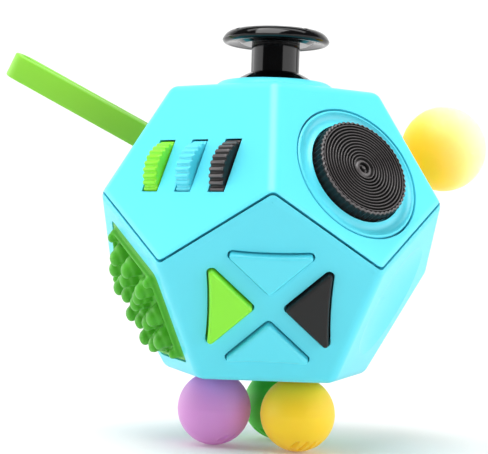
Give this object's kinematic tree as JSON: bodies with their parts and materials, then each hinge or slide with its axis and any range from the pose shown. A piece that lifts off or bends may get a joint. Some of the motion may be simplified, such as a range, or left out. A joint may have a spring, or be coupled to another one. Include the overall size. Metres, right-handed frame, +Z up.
{
  "type": "twelve-sided fidget toy",
  "caption": "Hand-held dodecahedron desk toy with thumb wheels, turning dial, thumbstick, press buttons, silicone balls, pull strap, textured pad, switch, spinner and slider.",
  "frame": {"origin": "on the standing plane under the three silicone balls, at the middle of the bounding box seen from above", "axes": "+Z up along the thumbstick; -Y toward the face with the four buttons; +X toward the yellow side ball, away from the strap"},
  "size_m": [0.0938, 0.0632, 0.0763],
  "materials": {
    "cyan_abs": "fine satin moulded ABS",
    "green_abs": "satin moulded ABS",
    "black_abs": "satin moulded ABS",
    "black_gloss": "polished moulded ABS",
    "natural_nylon": "moulded nylon",
    "green_silicone": "satin silicone rubber",
    "yellow_silicone": "soft translucent silicone rubber",
    "purple_silicone": "soft silicone rubber",
    "dome_rubber": "translucent silicone",
    "steel": "bright turned steel",
    "spring_steel": "tempered spring steel"
  },
  "bodies": {
    "body": {"upper_shell": "cyan_abs", "lower_shell": "cyan_abs", "shell_dowels": "steel", "bracket_screws": "steel", "gear_axle": "steel", "gear_cradle": "natural_nylon", "dial_bezel": "cyan_abs", "dial_retaining_clip": "spring_steel", "dial_click_spring": "spring_steel", "joystick_housing": "natural_nylon", "joystick_spring": "spring_steel", "strap_pin": "steel", "strap_keeper": "natural_nylon", "side_ball_socket": "natural_nylon", "switch_frame": "cyan_abs", "switch_pin": "steel", "switch_leaf_spring": "spring_steel", "button_tray": "natural_nylon", "button_dome_top": "dome_rubber", "button_dome_left": "dome_rubber", "button_dome_right": "dome_rubber", "button_dome_bottom": "dome_rubber", "textured_pad": "green_silicone", "pad_backing_plate": "natural_nylon", "spinner_post": "steel", "spinner_bearing_inner": "steel"},
    "gear_green": {"gear_wheel_green": "green_abs"},
    "gear_blue": {"gear_wheel_blue": "cyan_abs"},
    "gear_black": {"gear_wheel_black": "black_abs"},
    "dial": {"dial_disc": "black_abs", "dial_washer": "steel", "dial_screw": "steel"},
    "stick_ring": {"joystick_gimbal": "natural_nylon", "joystick_pin": "steel"},
    "stick": {"joystick_stem": "black_gloss", "joystick_cap": "black_gloss"},
    "strap": {"strap_loop": "green_silicone"},
    "ball_neck": {"side_ball_neck": "yellow_silicone"},
    "side_ball": {"side_ball": "yellow_silicone"},
    "rocker": {"switch_rocker": "black_abs"},
    "button_top": {"button_top": "cyan_abs"},
    "button_left": {"button_left": "green_abs"},
    "button_right": {"button_right": "black_abs"},
    "button_bottom": {"button_bottom": "cyan_abs"},
    "ball_purple": {"ball_purple": "purple_silicone"},
    "ball_yellow": {"ball_yellow": "yellow_silicone"},
    "ball_green": {"ball_green": "green_silicone"},
    "spinner": {"spinner_rotor": "green_abs", "spinner_weights": "steel", "spinner_bearing_outer": "steel", "spinner_bearing_balls": "steel", "spinner_cap": "black_abs"},
    "slider": {"slider_knob": "black_abs", "slider_foot": "natural_nylon"}
  },
  "joints": [
    {"name": "gear_green_spin", "type": "hinge", "parent": "body", "child": "gear_green", "pos_m": [-0.01208, -0.01178, 0.04827], "axis": [0.809, -0.5878, 0], "continuous": true},
    {"name": "gear_blue_spin", "type": "hinge", "parent": "body", "child": "gear_blue", "pos_m": [-0.00621, -0.01604, 0.04827], "axis": [0.809, -0.5878, 0], "continuous": true},
    {"name": "gear_black_spin", "type": "hinge", "parent": "body", "child": "gear_black", "pos_m": [-0.00034, -0.02031, 0.04827], "axis": [0.809, -0.5878, 0], "continuous": true},
    {"name": "dial_spin", "type": "hinge", "parent": "body", "child": "dial", "pos_m": [0.02137, -0.02022, 0.05064], "axis": [0.5257, -0.7236, 0.4472], "continuous": true},
    {"name": "stick_tilt_side", "type": "hinge", "parent": "body", "child": "stick_ring", "pos_m": [0.00575, 0, 0.0575], "axis": [1, 0, 0], "range_deg": [-15, 15], "stiffness_Nm_per_rad": 0.01, "deforming": ["joystick_spring"]},
    {"name": "stick_tilt_forward", "type": "hinge", "parent": "stick_ring", "child": "stick", "pos_m": [0.00575, 0, 0.0575], "axis": [0, 1, 0], "range_deg": [-15, 15], "stiffness_Nm_per_rad": 0.01, "deforming": ["joystick_spring"]},
    {"name": "strap_swing", "type": "hinge", "parent": "body", "child": "strap", "pos_m": [-0.01232, 0.00587, 0.05341], "axis": [0.4253, -0.1382, 0.8944], "range_deg": [-25, 25], "stiffness_Nm_per_rad": 0.01},
    {"name": "ball_neck_bend", "type": "hinge", "parent": "body", "child": "ball_neck", "pos_m": [0.02566, 0.00647, 0.04956], "axis": [-0.309, 0.9511, 0], "range_deg": [-10, 10], "stiffness_Nm_per_rad": 0.03},
    {"name": "side_ball_wobble", "type": "hinge", "parent": "ball_neck", "child": "side_ball", "pos_m": [0.03323, 0.00893, 0.05355], "axis": [-0.4253, -0.1382, 0.8944], "range_deg": [-10, 10], "stiffness_Nm_per_rad": 0.006},
    {"name": "rocker_flip", "type": "hinge", "parent": "body", "child": "rocker", "pos_m": [0.00575, 0.02182, 0.05001], "axis": [-1, 0, 0], "range_deg": [0, 20]},
    {"name": "button_top_press", "type": "slide", "parent": "body", "child": "button_top", "axis": [0, 0.8944, 0.4472], "range_m": [0, 0.001], "stiffness_N_per_m": 40, "springref_m": -0.0008, "deforming": ["button_dome_top"]},
    {"name": "button_left_press", "type": "slide", "parent": "body", "child": "button_left", "axis": [0, 0.8944, 0.4472], "range_m": [0, 0.001], "stiffness_N_per_m": 40, "springref_m": -0.0008, "deforming": ["button_dome_left"]},
    {"name": "button_right_press", "type": "slide", "parent": "body", "child": "button_right", "axis": [0, 0.8944, 0.4472], "range_m": [0, 0.001], "stiffness_N_per_m": 40, "springref_m": -0.0008, "deforming": ["button_dome_right"]},
    {"name": "button_bottom_press", "type": "slide", "parent": "body", "child": "button_bottom", "axis": [0, 0.8944, 0.4472], "range_m": [0, 0.001], "stiffness_N_per_m": 40, "springref_m": -0.0008, "deforming": ["button_dome_bottom"]},
    {"name": "ball_purple_press", "type": "slide", "parent": "body", "child": "ball_purple", "axis": [0, 0, 1], "range_m": [0, 0.001], "stiffness_N_per_m": 300, "springref_m": -0.0015},
    {"name": "ball_yellow_press", "type": "slide", "parent": "body", "child": "ball_yellow", "axis": [0, 0, 1], "range_m": [0, 0.001], "stiffness_N_per_m": 300, "springref_m": -0.0015},
    {"name": "ball_green_press", "type": "slide", "parent": "body", "child": "ball_green", "axis": [0, 0, 1], "range_m": [0, 0.001], "stiffness_N_per_m": 300, "springref_m": -0.0015},
    {"name": "spinner_spin", "type": "hinge", "parent": "body", "child": "spinner", "pos_m": [0.0199, 0.01946, 0.02707], "axis": [0.5257, 0.7236, -0.4472], "continuous": true},
    {"name": "slider_slide", "type": "slide", "parent": "body", "child": "slider", "axis": [-0.809, -0.5878, 0], "range_m": [-0.0035, 0.0035]}
  ]
}
